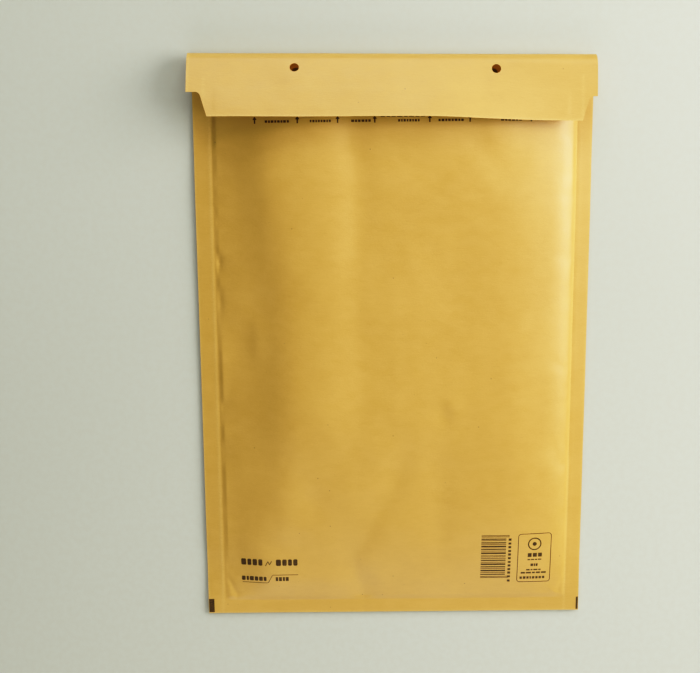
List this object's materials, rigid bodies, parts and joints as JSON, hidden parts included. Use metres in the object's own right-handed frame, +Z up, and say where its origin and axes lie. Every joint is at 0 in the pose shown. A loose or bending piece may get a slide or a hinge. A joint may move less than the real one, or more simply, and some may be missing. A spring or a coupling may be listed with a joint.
{
  "type": "padded envelope",
  "caption": "Kraft paper padded envelope with a bubble-film lining, lying on its back, its flap folded loosely over the front with the release liner still on.",
  "frame": {"origin": "on the surface that it lies on, under the middle of the outline", "axes": "+Y along the envelope from the bottom fold to the top fold, +Z up out of the front panel, +X to the right as the front is read"},
  "size_m": [0.24, 0.352, 0.0293],
  "materials": {
    "kraft_paper": "golden brown kraft, satin, fine fibres, dark brown print",
    "bubble_film": "clear polyethylene film with round air cells, glossy",
    "adhesive": "cream hot-melt glue, slightly glossy",
    "release_paper": "white siliconised paper, smooth, half matt"
  },
  "bodies": {
    "root": {"kraft_envelope": "kraft_paper", "bubble_lining": "bubble_film", "adhesive_strip": "adhesive", "release_liner": "release_paper"}
  },
  "joints": []
}
